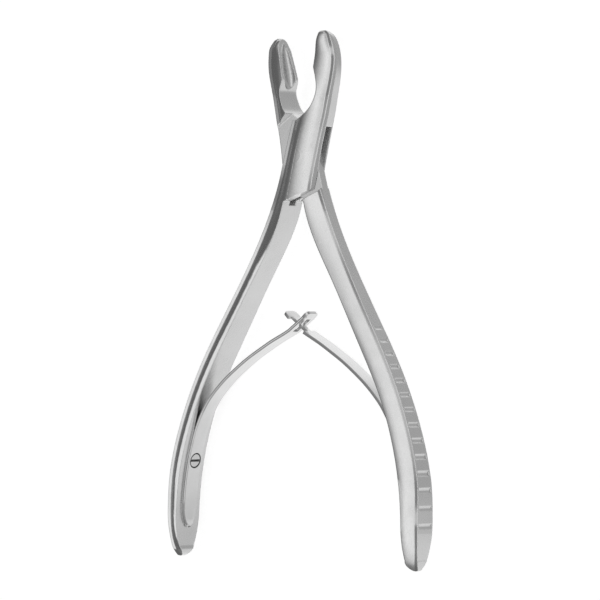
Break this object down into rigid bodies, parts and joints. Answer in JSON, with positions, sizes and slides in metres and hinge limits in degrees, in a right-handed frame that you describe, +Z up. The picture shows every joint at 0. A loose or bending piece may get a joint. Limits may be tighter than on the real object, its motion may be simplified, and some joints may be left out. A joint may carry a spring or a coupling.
{
  "type": "bone rongeur",
  "caption": "Hand-held surgical bone cutter with two cupped jaws, a box lock joint, long curved handles with grip notches and a pair of interlocking leaf springs.",
  "frame": {"origin": "centre of the bounding box on the plane that the instrument lies on", "axes": "+Y along the instrument towards the jaws, +X across the handles towards the male half's handle, +Z up through its thickness"},
  "size_m": [0.0908, 0.1472, 0.0097],
  "materials": {
    "satin_steel": "fine satin, polished edges",
    "pin_steel": "ground flush with the box",
    "spring_steel": "satin spring steel",
    "screw_steel": "turned and polished"
  },
  "bodies": {
    "female": {"female_half": "satin_steel", "box_lock_pin": "pin_steel", "slotted_spring_screw": "screw_steel"},
    "male": {"male_half": "satin_steel", "tongue_spring_screw": "screw_steel"},
    "slotted_leaf": {"slotted_spring": "spring_steel"},
    "tongue_leaf": {"tongue_spring": "spring_steel"}
  },
  "joints": [
    {"name": "box_hinge", "type": "hinge", "parent": "female", "child": "male", "pos_m": [0, 0.03915, 0.00485], "axis": [0, 0, 1], "range_deg": [-24.5, 0], "stiffness_Nm_per_rad": 2, "springref_deg": 17.19},
    {"name": "slotted_spring_flex", "type": "hinge", "parent": "female", "child": "slotted_leaf", "pos_m": [-0.037, -0.03985, 0.00485], "axis": [0, 0, 1], "range_deg": [0, 13.4], "deforming": ["slotted_spring"]},
    {"name": "tongue_spring_flex", "type": "hinge", "parent": "male", "child": "tongue_leaf", "pos_m": [0.037, -0.03985, 0.00485], "axis": [0, 0, 1], "range_deg": [-13.4, 0], "deforming": ["tongue_spring"]}
  ],
  "couplings": [
    {"joint": "slotted_spring_flex", "follows": "box_hinge", "ratio": -0.54},
    {"joint": "tongue_spring_flex", "follows": "box_hinge", "ratio": 0.54}
  ]
}
